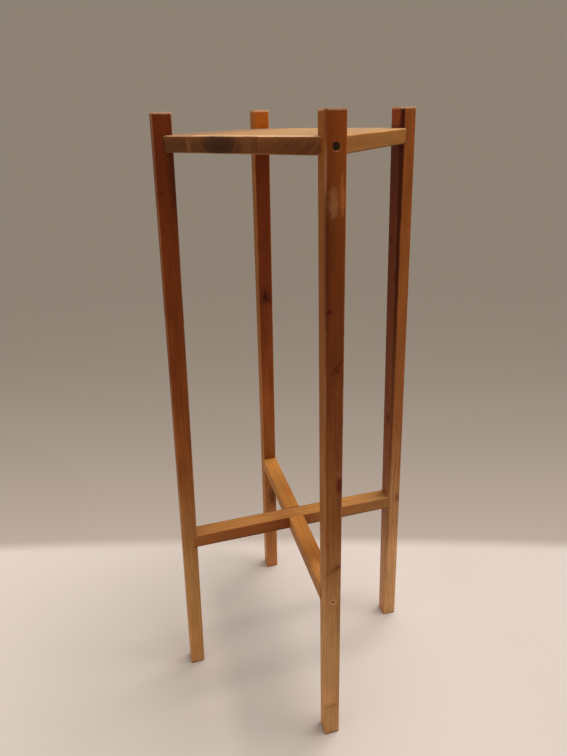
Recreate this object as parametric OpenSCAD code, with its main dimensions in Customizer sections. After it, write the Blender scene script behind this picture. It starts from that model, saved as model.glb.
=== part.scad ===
// Tall plant stand in hardwood.
// Four square legs lean outwards to the floor. A square board, glued up from three staves,
// is let into them by its corners, and two crossed stretchers brace them lower down.
// The legs stand on the X and Y axes, the front leg towards -Y, and the board is turned by
// 45 degrees between them. The floor is at Z = 0, and the Z axis runs up the middle.

/* [Stand] */
// Height of the stand, from the floor to the level tops of the legs
stand_h = 960; // [700:1:1200]
// Lean of each leg away from the vertical, outwards to the floor, in degrees
leg_lean = 2.25; // [0:0.05:4]

/* [Legs] */
// Side of a leg's square section
leg_w = 25; // [22:0.5:36]
// Radius of the eased long edges of a leg
leg_edge_r = 1.2; // [0.5:0.1:3]

/* [Board] */
// Side of the square board
board_side = 250; // [200:5:400]
// Thickness of the board
board_t = 19.6; // [16:0.2:30]
// Drop from the tops of the legs to the top of the board
board_drop = 26.3; // [10:0.1:60]
// Depth of the housing in each leg that takes a corner of the board
board_housing = 11.7; // [8:0.1:14]
// Radius of the eased top and bottom edges of the board
board_edge_r = 2; // [0.5:0.1:4]
// Width of the front stave, across the grain
front_stave_w = 97; // [60:1:110]
// Width of the back stave, across the grain
back_stave_w = 60; // [50:1:80]

/* [Stretchers] */
// Height of the middle of the stretchers above the floor
stretcher_z = 295; // [150:1:500]
// Width of a stretcher, seen from above
stretcher_w = 26.4; // [20:0.1:36]
// Height of a stretcher's section
stretcher_h = 24.4; // [18:0.1:36]
// Depth of the housing in each leg that takes the end of a stretcher
stretcher_housing = 5.5; // [3:0.5:9]
// Radius of the eased long edges of a stretcher
stretcher_edge_r = 1.2; // [0.5:0.1:3]

/* [Screws] */
// Outer diameter of the thread, and of the plain shank above it
screw_d = 4.5; // [3.5:0.5:5]
// Diameter of the countersunk head
screw_head_d = 8.8; // [7.6:0.1:10]
// Length of a screw, from the top of its head to its point
screw_l = 45; // [38:1:60]
// Length of the plain shank below the head
screw_shank_l = 12; // [6:1:20]
// Distance from one turn of the thread to the next
thread_pitch = 2; // [1.5:0.1:3]
// Depth of the thread below its outer diameter
thread_deep = 0.7; // [0.4:0.1:0.9]
// Span of the cross-shaped recess in the head
recess_span = 4.8; // [3:0.1:5.5]
// Width of one arm of the cross
recess_arm = 1.1; // [0.8:0.1:1.5]
// Depth of the cross
recess_deep = 1.7; // [1:0.1:2]
// How far the heads of the board's screws are sunk below the face of the leg
board_screw_sink = 2; // [0.5:0.1:4]
// How far the heads of the stretchers' screws are sunk below the face of the leg
stretcher_screw_sink = 0.4; // [0.3:0.1:3]

/* [Fits] */
// Play above the board and above a stretcher in its housing
housing_play = 0.1; // [0.05:0.05:0.4]
// Play at each side of the half lap between the stretchers
lap_play = 0.05; // [0.05:0.05:0.3]
// Radial play between a screw and the wood round it
screw_play = 0.1; // [0.05:0.05:0.3]

/* [Hidden] */

edge_fn = 32;
screw_fn = 32;
// Length by which a cutter runs past the wood that it cuts
over = 5;

leg_colour = [0.72, 0.40, 0.16];
board_colour = [0.80, 0.60, 0.40];
stretcher_colour = [0.74, 0.45, 0.18];
screw_colour = [0.80, 0.76, 0.66];

// Turns from the +X leg to the others
front = 270;
right = 0;
back = 90;
left = 180;
corners = [front, right, back, left];

board_top_z = stand_h - board_drop;
board_mid_z = board_top_z - board_t / 2;
board_bottom_z = board_top_z - board_t;
// Distance of the sharp corner of the square board from the middle of the stand
board_corner_r = board_side / sqrt(2);
// The corners are cut off as wide as a leg, and that flat meets the bottom of the housing
board_end_r = board_corner_r - leg_w / 2;

// A leaning leg's width, measured level
leg_level_w = leg_w / cos(leg_lean);
// Distance of a leg's axis from the middle of the stand, at a height
function leg_r(z) = board_end_r - board_housing + leg_level_w / 2
                    + (board_mid_z - z) * tan(leg_lean);
function leg_inner_r(z) = leg_r(z) - leg_level_w / 2;
function leg_outer_r(z) = leg_r(z) + leg_level_w / 2;

stretcher_top_z = stretcher_z + stretcher_h / 2;
stretcher_bottom_z = stretcher_z - stretcher_h / 2;
stretcher_end_r = leg_inner_r(stretcher_z) + stretcher_housing;
lap_w = stretcher_w + 2 * lap_play;

head_h = (screw_head_d - screw_d) / 2;
hole_d = screw_d + 2 * screw_play;
head_hole_d = screw_head_d + 2 * screw_play;
point_h = screw_d;
core_r = screw_d / 2 - thread_deep;
thread_l = screw_l - head_h - screw_shank_l - point_h;
thread_turns = floor(thread_l / thread_pitch);
board_head_r = leg_outer_r(board_mid_z) - board_screw_sink;
stretcher_head_r = leg_outer_r(stretcher_z) - stretcher_screw_sink;

// A rectangle centred on the origin, with rounded corners
module eased_rectangle(w, h, r) {
    square([w - 2 * r, h], center = true);
    square([w, h - 2 * r], center = true);
    for (x = [-1, 1], y = [-1, 1])
        translate([x * (w / 2 - r), y * (h / 2 - r)])
            circle(r = r, $fn = edge_fn);
}

// A bar along X, centred on the origin, with its four long edges eased
module eased_bar(length, w, h, r) {
    rotate([90, 0, 90])
        translate([0, 0, -length / 2])
            linear_extrude(height = length)
                eased_rectangle(w, h, r);
}

// The screw, point towards -X, with the middle of its head's flat top at the origin
module screw() {
    rotate([0, -90, 0])
        difference() {
            rotate_extrude($fn = screw_fn)
                polygon(screw_profile());
            for (turn = [0, 90])
                rotate([0, 0, turn])
                    translate([-recess_span / 2, -recess_arm / 2, -over])
                        cube([recess_span, recess_arm, over + recess_deep]);
        }
}

// Half of the screw's outline: head cone, plain shank, ridges of the thread, point
function screw_profile() = concat(
    [[0, 0], [screw_head_d / 2, 0], [screw_d / 2, head_h],
     [screw_d / 2, head_h + screw_shank_l]],
    [for (i = [0:thread_turns - 1], p = thread_turn(head_h + screw_shank_l
                                                    + i * thread_pitch)) p],
    [[core_r, screw_l - point_h], [0, screw_l]]);

// One ridge of the thread, whose groove starts at a depth below the head
function thread_turn(depth) = [
    [core_r, depth + thread_pitch / 4],
    [core_r, depth + thread_pitch / 2],
    [screw_d / 2, depth + thread_pitch * 3 / 4],
    [core_r, depth + thread_pitch]];

// The hole that takes a screw and its head, open past the outer face of the leg
module screw_hole() {
    rotate([0, -90, 0]) {
        translate([0, 0, -leg_w])
            cylinder(d = head_hole_d, h = leg_w, $fn = screw_fn);
        cylinder(d1 = head_hole_d, d2 = hole_d, h = head_h, $fn = screw_fn);
        cylinder(d = hole_d, h = screw_l + screw_play, $fn = screw_fn);
    }
}

// Places a screw or its hole at each leg: its head faces outwards at radius r and height z
module at_screws(r, z) {
    for (turn = corners)
        rotate([0, 0, turn])
            translate([r, 0, z])
                children();
}

// The leg on the +X axis: a leaning square bar, cut level at the top and at the floor
module leg_bar() {
    intersection() {
        translate([leg_r(0), 0, 0])
            rotate([0, -leg_lean, 0])
                translate([0, 0, -leg_w])
                    linear_extrude(height = stand_h + 3 * leg_w)
                        eased_rectangle(leg_w, leg_w, leg_edge_r);
        translate([0, -leg_w, 0])
            cube([leg_r(0) + leg_w, 2 * leg_w, stand_h]);
    }
}

// A housing across the inner face of the +X leg, as deep as the radius end_r
module housing(end_r, bottom_z, h) {
    translate([0, -leg_w, bottom_z])
        cube([end_r, 2 * leg_w, h + housing_play]);
}

module leg(turn) {
    color(leg_colour)
        rotate([0, 0, turn])
            difference() {
                leg_bar();
                housing(board_end_r, board_bottom_z, board_t);
                housing(stretcher_end_r, stretcher_bottom_z, stretcher_h);
                translate([board_head_r, 0, board_mid_z])
                    screw_hole();
                translate([stretcher_head_r, 0, stretcher_z])
                    screw_hole();
            }
}

// The whole board in place, with its corners cut off to enter the housings
module board() {
    translate([0, 0, board_mid_z])
        difference() {
            intersection() {
                rotate([0, 0, 45])
                    eased_bar(board_side, board_side, board_t, board_edge_r);
                rotate([0, 0, -45])
                    eased_bar(board_side, board_side, board_t, board_edge_r);
                cube([2 * board_end_r, 2 * board_end_r, 2 * board_t], center = true);
            }
            at_screws(board_head_r, 0)
                screw_hole();
        }
}

// The part of the board between two distances from its back left edge, across the grain
module board_stave(from, to) {
    color(board_colour)
        intersection() {
            board();
            rotate([0, 0, 45])
                translate([-board_side, board_side / 2 - to, 0])
                    cube([2 * board_side, to - from, stand_h]);
        }
}

// A stretcher along X, housed in two legs, with half its height cut away at the crossing
module stretcher(lap_side) {
    color(stretcher_colour)
        difference() {
            translate([0, 0, stretcher_z])
                eased_bar(2 * stretcher_end_r, stretcher_w, stretcher_h, stretcher_edge_r);
            translate([0, 0, stretcher_z + lap_side * stretcher_h / 2])
                cube([lap_w, 2 * stretcher_w, stretcher_h], center = true);
            for (turn = [0, 180])
                rotate([0, 0, turn])
                    translate([stretcher_head_r, 0, stretcher_z])
                        screw_hole();
        }
}

module leg_front() {
    leg(front);
}

module leg_right() {
    leg(right);
}

module leg_back() {
    leg(back);
}

module leg_left() {
    leg(left);
}

module board_back_stave() {
    board_stave(0, back_stave_w);
}

module board_middle_stave() {
    board_stave(back_stave_w, board_side - front_stave_w);
}

module board_front_stave() {
    board_stave(board_side - front_stave_w, board_side);
}

// The upper half of the crossing: this stretcher's top runs through
module stretcher_left_right() {
    stretcher(-1);
}

// The lower half of the crossing
module stretcher_front_back() {
    rotate([0, 0, 90])
        stretcher(1);
}

module board_screws() {
    color(screw_colour)
        at_screws(board_head_r, board_mid_z)
            screw();
}

module stretcher_screws() {
    color(screw_colour)
        at_screws(stretcher_head_r, stretcher_z)
            screw();
}

leg_front();
leg_right();
leg_back();
leg_left();
board_front_stave();
board_middle_stave();
board_back_stave();
stretcher_left_right();
stretcher_front_back();
board_screws();
stretcher_screws();
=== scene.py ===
# %% [markdown]
# # A tall plant stand in lacquered hardwood
#
# The stand is plain joinery: four square legs that lean outwards, a small board glued up from
# three staves and let into the legs by its corners, and two crossed stretchers held by a half
# lap. Eight countersunk screws pin it together. Nothing on it moves, so all pieces ride on one
# body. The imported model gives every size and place, and this script gives the wood, the eased
# edges, the joints' fine lines and the screws the look of the real ones.

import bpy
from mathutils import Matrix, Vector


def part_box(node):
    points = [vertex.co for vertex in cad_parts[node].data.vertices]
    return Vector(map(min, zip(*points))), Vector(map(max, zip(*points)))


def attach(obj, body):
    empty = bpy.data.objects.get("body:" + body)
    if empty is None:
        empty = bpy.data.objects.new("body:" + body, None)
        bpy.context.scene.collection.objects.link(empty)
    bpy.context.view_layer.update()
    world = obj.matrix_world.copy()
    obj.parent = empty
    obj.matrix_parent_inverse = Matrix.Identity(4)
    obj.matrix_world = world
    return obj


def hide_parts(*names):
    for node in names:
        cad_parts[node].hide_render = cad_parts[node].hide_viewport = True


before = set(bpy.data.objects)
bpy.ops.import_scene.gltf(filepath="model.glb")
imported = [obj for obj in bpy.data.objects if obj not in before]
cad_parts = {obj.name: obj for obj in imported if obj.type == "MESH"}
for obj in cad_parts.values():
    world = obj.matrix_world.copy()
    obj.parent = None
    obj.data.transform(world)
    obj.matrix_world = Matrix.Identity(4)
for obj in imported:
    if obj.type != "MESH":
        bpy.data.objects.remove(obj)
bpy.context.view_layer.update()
print("packed nodes:", ", ".join(sorted(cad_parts)))

# %% [markdown]
# ## Sizes
#
# A size could be typed in again here, but then it would no longer follow the construction.
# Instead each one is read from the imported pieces. The legs stand on the X and Y axes, and the
# board is turned by 45 degrees, so its grain runs along one diagonal of the stand.

# %% Directions, and a way to measure a piece along one
import math

import bmesh
import bpy
from mathutils import Matrix, Vector, noise

MM = 0.001
UP = Vector((0, 0, 1))
ALONG_BOARD = Vector((1, 1, 0)).normalized()
ACROSS_BOARD = Vector((-1, 1, 0)).normalized()


def spread(node, direction):
    """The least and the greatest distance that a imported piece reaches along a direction."""
    reach = [vertex.co.dot(direction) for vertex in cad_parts[node].data.vertices]
    return min(reach), max(reach)


# %% Sizes of the legs, the board and the stretchers
leg_low, leg_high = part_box("leg_right")
LEG_WIDTH = leg_high.y - leg_low.y
STAND_HEIGHT = leg_high.z
LEAN = math.atan((leg_high.x - leg_low.x - LEG_WIDTH) / STAND_HEIGHT)
LEG_LEVEL_WIDTH = LEG_WIDTH / math.cos(LEAN)
FOOT_RADIUS = leg_high.x - LEG_LEVEL_WIDTH / 2

board_low, board_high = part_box("board_front_stave")
BOARD_TOP = board_high.z
BOARD_BOTTOM = board_low.z
BOARD_THICKNESS = BOARD_TOP - BOARD_BOTTOM
BOARD_MIDDLE = (BOARD_TOP + BOARD_BOTTOM) / 2
BOARD_END = board_high.x
HALF_BOARD = spread("board_back_stave", ACROSS_BOARD)[1]

stretcher_low, stretcher_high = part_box("stretcher_left_right")
STRETCHER_END = stretcher_high.x
STRETCHER_WIDTH = stretcher_high.y - stretcher_low.y
STRETCHER_TOP = stretcher_high.z
STRETCHER_BOTTOM = stretcher_low.z
STRETCHER_HEIGHT = STRETCHER_TOP - STRETCHER_BOTTOM
STRETCHER_MIDDLE = (STRETCHER_TOP + STRETCHER_BOTTOM) / 2

print(f"legs {LEG_WIDTH / MM:.1f} mm square, {STAND_HEIGHT / MM:.0f} mm tall,"
      f" leaning {math.degrees(LEAN):.2f} degrees")
print(f"board {2 * HALF_BOARD / MM:.1f} mm square, {BOARD_THICKNESS / MM:.1f} mm thick,"
      f" its top at {BOARD_TOP / MM:.1f} mm")
print(f"stretchers {STRETCHER_WIDTH / MM:.1f} x {STRETCHER_HEIGHT / MM:.1f} mm,"
      f" at {STRETCHER_MIDDLE / MM:.1f} mm")

# %% [markdown]
# ## The camera
#
# The photograph was taken from just left of the front leg, at about the height of the stand,
# looking down. Its straight edges fix the eye point, the direction and the focal length, so
# these are a few measured values instead of a view set by eye.

# %% Camera
PHOTO_LONG_SIDE = 756
FOCAL_LENGTH_IN_PIXELS = 555.4
SENSOR = 36
EYE = Vector((-0.2216, -0.7658, 0.9584))
HEADING = math.radians(15.13)
LOOK_DOWN = math.radians(25.71)
ROLL = math.radians(-1.25)
NEAREST = 0.02

scene = bpy.context.scene


def in_scene(name, data):
    """A new object in the scene, made of a camera, a lamp or a mesh."""
    thing = bpy.data.objects.new(name, data)
    scene.collection.objects.link(thing)
    return thing


camera = in_scene("camera", bpy.data.cameras.new("camera"))
scene.camera = camera
camera.data.sensor_width = SENSOR
camera.data.lens = SENSOR * FOCAL_LENGTH_IN_PIXELS / PHOTO_LONG_SIDE
camera.data.clip_start = NEAREST
camera.matrix_world = (
    Matrix.Translation(EYE)
    @ Matrix.Rotation(-HEADING, 4, "Z")
    @ Matrix.Rotation(math.pi / 2 - LOOK_DOWN, 4, "X")
    @ Matrix.Rotation(ROLL, 4, "Z")
)
print(f"camera with a {camera.data.lens:.2f} mm lens at {tuple(round(v, 3) for v in EYE)}")

# %% [markdown]
# ## Node trees and colours
#
# Shader nodes and geometry nodes are both built in code, so one small function adds a node
# with its settings and its links. Colours are written as sRGB hex values, the way a paint or
# a photograph shows them, and one function turns them into the linear values that light needs.


# %% Helpers for nodes and colours
def add(tree, kind, inputs=None, **settings):
    """Add one node, make its settings, and set or link its inputs by name or number."""
    node = tree.nodes.new(kind)
    for name, value in settings.items():
        setattr(node, name, value)
    for key, value in (inputs or {}).items():
        if isinstance(value, bpy.types.Node):
            value = next(socket for socket in value.outputs if socket.enabled)
        if isinstance(value, bpy.types.NodeSocket):
            tree.links.new(value, node.inputs[key])
        else:
            node.inputs[key].default_value = value
    return node


def srgb(hex_colour):
    """A colour written as sRGB hex, such as #7A3B1B, as linear red, green, blue and alpha."""
    parts = [int(hex_colour[i:i + 2], 16) / 255 for i in (1, 3, 5)]
    linear = [c / 12.92 if c <= 0.04045 else ((c + 0.055) / 1.055) ** 2.4 for c in parts]
    return (*linear, 1.0)


def empty_tree(owner):
    """Give a material or a world a node tree of its own, with nothing in it."""
    owner.use_nodes = True
    owner.node_tree.nodes.clear()
    return owner.node_tree


print("a mid grey of #808080 is", round(srgb("#808080")[0], 3), "in linear light")

# %% [markdown]
# ## The studio
#
# The stand is shown on a pale sheet, with a plain grey behind it. A backdrop close behind
# would hide the stand from other sides. So one wide floor is pale near the stand, and past a
# long curved edge it takes the backdrop's grey. Rays from the camera, and those that a glossy
# surface sends out, see the same grey in the world, so no horizon shows. The grey starts out
# paler at that edge, a painted glow as if the sheet lit it. The sheet is painted a shade paler
# on the left, as painted light where the lamps reach it less, and a few metres from the stand
# it fades into the grey on every side.

# %% Floor
# The left of the sheet is painted paler: painted light where the lamps reach it less
PALE_LEFT_PAINTED_LIGHTER = srgb("#CDC4BD")
PALE_RIGHT = srgb("#BFB6B0")
LEFT_TO_RIGHT = (-0.6, 0.4)
BACKDROP_GREY = srgb("#8E8275")
# The backdrop's grey is painted paler near the sheet: a painted glow, as if the sheet lit it
BACKDROP_FOOT = srgb("#BFAEA0")
FOOT_REACH = 0.55
BEYOND_SHEET = srgb("#5E5852")
FLOOR_RADIUS = 25.0
SHEET_MIDDLE = (-3.38, -11.24, 0)
SHEET_RADIUS = 12.0
SHEET_FADE = 0.025
FAR_FADE = (1.3, 3.2)


def mesh_of(shape, name):
    """The mesh of a bmesh, which is then let go."""
    mesh = bpy.data.meshes.new(name)
    shape.to_mesh(mesh)
    shape.free()
    return mesh


disc = bmesh.new()
bmesh.ops.create_circle(disc, cap_ends=True, segments=96, radius=FLOOR_RADIUS)
floor = in_scene("floor", mesh_of(disc, "floor"))
print("floor:", len(floor.data.vertices), "corners")


# %% The sheet on the floor
def seen_directly(tree):
    """1 for rays from the camera or from a glossy surface, and 0 for those that bring light."""
    ray = add(tree, "ShaderNodeLightPath")
    return add(tree, "ShaderNodeMath",
               {0: ray.outputs["Is Camera Ray"], 1: ray.outputs["Is Glossy Ray"]},
               operation="MAXIMUM")


def matt_paper():
    """Matt white paper: no shine at all. It shows the stand's soft shadow, and painted light
    makes its left side paler.
    """
    material = bpy.data.materials.new("matt white paper")
    tree = empty_tree(material)
    place = add(tree, "ShaderNodeTexCoord")
    across = add(tree, "ShaderNodeSeparateXYZ", {0: place.outputs["Object"]})
    to_the_right = add(tree, "ShaderNodeMapRange",
                       {"Value": across.outputs["X"], "From Min": LEFT_TO_RIGHT[0],
                        "From Max": LEFT_TO_RIGHT[1]})
    # Painted light: the sheet is paler towards the left, where the lamps reach it less
    pale = add(tree, "ShaderNodeMix", {0: to_the_right, 6: PALE_LEFT_PAINTED_LIGHTER, 7: PALE_RIGHT},
               data_type="RGBA")
    sheet = add(tree, "ShaderNodeBsdfDiffuse", {"Color": pale.outputs[2]})

    # Where the sheet ends: at its own round edge, and a few metres from the stand
    distance = add(tree, "ShaderNodeVectorMath",
                   {0: place.outputs["Object"], 1: SHEET_MIDDLE}, operation="DISTANCE")
    sheet_edge = add(tree, "ShaderNodeMapRange",
                     {"Value": distance.outputs["Value"], "From Min": SHEET_RADIUS - SHEET_FADE,
                      "From Max": SHEET_RADIUS + SHEET_FADE}, interpolation_type="SMOOTHSTEP")
    from_stand = add(tree, "ShaderNodeVectorMath", {0: place.outputs["Object"]},
                     operation="LENGTH")
    far = add(tree, "ShaderNodeMapRange",
              {"Value": from_stand.outputs["Value"], "From Min": FAR_FADE[0],
               "From Max": FAR_FADE[1]}, interpolation_type="SMOOTHSTEP")
    sheet_end = add(tree, "ShaderNodeMath", {0: sheet_edge, 1: far}, operation="MAXIMUM")

    # The grey past it, with a painted glow near the edge
    beyond = add(tree, "ShaderNodeMath",
                 {0: distance.outputs["Value"], 1: -1 / FOOT_REACH,
                  2: SHEET_RADIUS / FOOT_REACH}, operation="MULTIPLY_ADD")
    glow = add(tree, "ShaderNodeMath", {0: beyond}, operation="EXPONENT", use_clamp=True)
    near = add(tree, "ShaderNodeMath", {0: 1.0, 1: far}, operation="SUBTRACT")
    near_glow = add(tree, "ShaderNodeMath", {0: glow, 1: near}, operation="MULTIPLY")
    grey = add(tree, "ShaderNodeMix", {0: near_glow, 6: BACKDROP_GREY, 7: BACKDROP_FOOT},
               data_type="RGBA")
    backdrop = add(tree, "ShaderNodeEmission", {"Color": grey.outputs[2], "Strength": 1.0})
    seen = add(tree, "ShaderNodeMixShader", {0: sheet_end, 1: sheet, 2: backdrop})

    # Light that comes back up from the floor is dimmer past the edge of the sheet
    dim = add(tree, "ShaderNodeBsdfDiffuse", {"Color": BEYOND_SHEET})
    bounced = add(tree, "ShaderNodeMixShader", {0: sheet_edge, 1: sheet, 2: dim})
    surface = add(tree, "ShaderNodeMixShader", {0: seen_directly(tree), 1: bounced, 2: seen})
    add(tree, "ShaderNodeOutputMaterial", {"Surface": surface})
    return material


floor.data.materials.append(matt_paper())
print("floor covered with", floor.data.materials[0].name)

# %% World
AMBIENT = 0.5

world = bpy.data.worlds.new("soft room light")
scene.world = world
tree = empty_tree(world)
ray = add(tree, "ShaderNodeLightPath")
looked_through = add(tree, "ShaderNodeMath",
                     {0: seen_directly(tree), 1: ray.outputs["Is Transmission Ray"]},
                     operation="MAXIMUM")
room = add(tree, "ShaderNodeBackground", {"Color": srgb("#FFF8F0"), "Strength": AMBIENT})
grey = add(tree, "ShaderNodeBackground", {"Color": BACKDROP_GREY, "Strength": 1.0})
sky = add(tree, "ShaderNodeMixShader", {0: looked_through, 1: room, 2: grey})
add(tree, "ShaderNodeOutputWorld", {"Surface": sky})
scene.view_settings.view_transform = "Standard"
print("world:", world.name, "at", AMBIENT)


# %% Lamps
def soft_lamp(name, place, target, size, power, colour):
    """A square lamp of a given side, in metres, aimed from one place at another."""
    lamp = in_scene(name, bpy.data.lights.new(name, "AREA"))
    lamp.data.size = size
    lamp.data.energy = power
    lamp.data.color = srgb(colour)[:3]
    lamp.location = place
    lamp.rotation_mode = "QUATERNION"
    lamp.rotation_quaternion = (Vector(target) - Vector(place)).to_track_quat("-Z", "Y")
    return lamp


lamps = [
    soft_lamp("ceiling", (0.55, 0.05, 2.6), (0, 0, 0.4), 1.2, 72, "#FFFAF4"),
    soft_lamp("left fill", (-1.9, -0.5, 1.2), (0, 0, 0.6), 1.2, 6, "#FFF1DC"),
]
print("lamps:", ", ".join(lamp.name for lamp in lamps))

# %% [markdown]
# ## The wood
#
# The legs and stretchers are a warm red-brown hardwood under a satin lacquer, and the board is
# a paler one whose sawn ends are dark. A picture wrapped round each bar would show seams at
# the edges. Real grain runs through the timber, so the pattern here is solid: each material
# works in millimetres in the timber's own frame, whose Z runs along the grain. Growth rings
# are cylinders round a pith line outside the bar. Streaks and pores are noise drawn out along
# the grain. Knots, scuffs and heartwood are placed where the real timber has them, and beside
# them some marks and tones are painted shade and painted light. The lacquer over it all leaves
# a soft, broad sheen.


# %% The frame of a timber's grain
def grain_frame(origin, outward, along):
    """A frame at origin whose Z runs along the grain, and whose X points outwards or up."""
    z = along.normalized()
    y = z.cross(outward).normalized()
    x = y.cross(z)
    turn = Matrix((x, y, z)).transposed().to_4x4()
    return Matrix.Translation(origin) @ turn


# %% Marks in the wood
def mark(at, reach, colour="#420F01", strength=0.85, turn=(0, 0, 0), soft=0.35, ragged=0.9,
         bend=0.0, on_ends=True):
    """A patch of colour in the timber, in mm: where it is, how far it reaches each way and
    how it is turned. bend is how far it pushes the growth rings aside, and on_ends says
    whether it shows on sawn ends too."""
    return {"at": at, "reach": reach, "colour": colour, "strength": strength,
            "turn": tuple(math.radians(angle) for angle in turn), "soft": soft,
            "ragged": ragged, "bend": bend, "on_ends": on_ends}


def knot(at, size, colour="#420F01", strength=0.85):
    """A knot: a dark core, in a faint halo that is drawn out along the grain."""
    return [
        mark(at, (size * 2.4, size * 1.8, size * 3.6), "#6E2A08", strength * 0.45, bend=2.5),
        mark(at, (size * 1.3, size * 0.8, size * 1.1), colour, strength, bend=1.5),
    ]


# %% Solid wood: its own millimetres
def noise_over(tree, space, reach, detail, roughness=0.5):
    """Noise in patches about as long each way as reach says, in mm."""
    finer = add(tree, "ShaderNodeVectorMath",
                {0: space, 1: tuple(1 / length for length in reach)}, operation="MULTIPLY")
    return add(tree, "ShaderNodeTexNoise",
               {"Vector": finer, "Scale": 1.0, "Detail": detail, "Roughness": roughness})


def timber_space(tree, frame_of_grain, seed):
    """Three sets of coordinates, in mm: the place in the timber, the same moved far off so
    that no two timbers match, and the place on a grain that wanders."""
    origin, turn, _ = frame_of_grain.decompose()
    coordinates = add(tree, "ShaderNodeTexCoord")
    place = add(tree, "ShaderNodeMapping",
                {"Vector": coordinates.outputs["Object"], "Location": origin,
                 "Rotation": turn.to_euler(), "Scale": (MM, MM, MM)}, vector_type="TEXTURE")
    shifted = add(tree, "ShaderNodeVectorMath",
                  {0: place, 1: (seed * 97, seed * 61, seed * 831)}, operation="ADD")
    # The grain wanders by a few millimetres over a hand's length
    wander = noise_over(tree, shifted, (55, 55, 260), 2.0)
    drift = add(tree, "ShaderNodeVectorMath", {0: wander.outputs["Color"], 1: (0.5, 0.5, 0.5)},
                operation="SUBTRACT")
    grain = add(tree, "ShaderNodeVectorMath", {0: drift, 1: (16, 16, 0), 2: place},
                operation="MULTIPLY_ADD")
    return place, shifted, grain


def facings(tree, normal, turn):
    """How squarely the surface faces along each of the timber's own axes, from 0 to 1."""
    shares = []
    for axis in (Vector((1, 0, 0)), Vector((0, 1, 0)), UP):
        facing = add(tree, "ShaderNodeVectorMath", {0: normal, 1: turn @ axis},
                     operation="DOT_PRODUCT")
        shares.append(add(tree, "ShaderNodeMath", {0: facing.outputs["Value"]},
                          operation="ABSOLUTE"))
    return shares


# %% Solid wood: marks
def mark_masks(tree, marks, place, shifted):
    """Where each mark shows, as an ellipsoid with a soft and uneven edge, and how far all of
    them together bend the growth rings."""
    ragged = noise_over(tree, shifted, (3, 3, 6), 3.0)
    centred = add(tree, "ShaderNodeMath", {0: ragged, 1: 0.5}, operation="SUBTRACT")
    bend = 0.0
    masks = []
    for each in marks:
        share = add(tree, "ShaderNodeMapping",
                    {"Vector": place, "Location": each["at"], "Rotation": each["turn"],
                     "Scale": each["reach"]}, vector_type="TEXTURE")
        radius = add(tree, "ShaderNodeVectorMath", {0: share}, operation="LENGTH")
        uneven = add(tree, "ShaderNodeMath", {0: centred, 1: each["ragged"], 2: radius},
                     operation="MULTIPLY_ADD")
        mask = add(tree, "ShaderNodeMapRange",
                   {"Value": uneven, "From Min": 1 + each["soft"], "From Max": 1 - each["soft"]},
                   interpolation_type="SMOOTHSTEP")
        masks.append(mask)
        if each["bend"]:
            bend = add(tree, "ShaderNodeMath", {0: mask, 1: each["bend"], 2: bend},
                       operation="MULTIPLY_ADD")
    return masks, bend


def painted(tree, colour, marks, masks, on_ends):
    """The colour with those marks on it that show, or don't show, on sawn ends."""
    for each, mask in zip(marks, masks):
        if each["on_ends"] == on_ends:
            share = add(tree, "ShaderNodeMath", {0: mask, 1: each["strength"]},
                        operation="MULTIPLY")
            colour = add(tree, "ShaderNodeMix",
                         {0: share, 6: colour.outputs[2], 7: srgb(each["colour"])},
                         data_type="RGBA")
    return colour


# %% Solid wood: growth rings and tone
def late_wood(tree, grain, pith, ring_width, bend):
    """Growth rings round the pith: in each one, 0 in the pale early wood rises slowly to 1 in
    a thin line of dark late wood."""
    from_pith = add(tree, "ShaderNodeVectorMath", {0: grain, 1: (*pith, 0)},
                    operation="SUBTRACT")
    section = add(tree, "ShaderNodeVectorMath", {0: from_pith, 1: (1, 1, 0)},
                  operation="MULTIPLY")
    radius = add(tree, "ShaderNodeVectorMath", {0: section}, operation="LENGTH")
    bent = add(tree, "ShaderNodeMath", {0: radius, 1: bend}, operation="ADD")
    # Some years the tree grew faster than in others
    growth = add(tree, "ShaderNodeTexNoise", {"W": bent, "Scale": 0.09, "Detail": 1.0},
                 noise_dimensions="1D")
    uneven = add(tree, "ShaderNodeMath", {0: growth, 1: ring_width * 3.0, 2: bent},
                 operation="MULTIPLY_ADD")
    count = add(tree, "ShaderNodeMath", {0: uneven, 1: ring_width}, operation="DIVIDE")
    share = add(tree, "ShaderNodeMath", {0: count}, operation="FRACT")
    rising = add(tree, "ShaderNodeMapRange",
                 {"Value": share, "From Min": 0.25, "From Max": 0.88},
                 interpolation_type="SMOOTHSTEP")
    falling = add(tree, "ShaderNodeMapRange",
                  {"Value": share, "From Min": 1.0, "From Max": 0.88})
    return add(tree, "ShaderNodeMath", {0: rising, 1: falling}, operation="MULTIPLY")


def tone_along(tree, tones, height, variation):
    """The body's tone along the grain, with each place moved a little by the variation."""
    reach = tones[-1][0] - tones[0][0]
    moved = add(tree, "ShaderNodeMath", {0: variation, 1: reach * 0.35, 2: height},
                operation="MULTIPLY_ADD")
    along = add(tree, "ShaderNodeMapRange",
                {"Value": moved, "From Min": tones[0][0], "From Max": tones[-1][0]})
    body = add(tree, "ShaderNodeValToRGB", {"Fac": along})
    stops = body.color_ramp.elements
    stops[0].color = srgb(tones[0][1])
    stops[1].color = srgb(tones[-1][1])
    for distance, tone in tones[1:-1]:
        stops.new((distance - tones[0][0]) / reach).color = srgb(tone)
    return body


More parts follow.
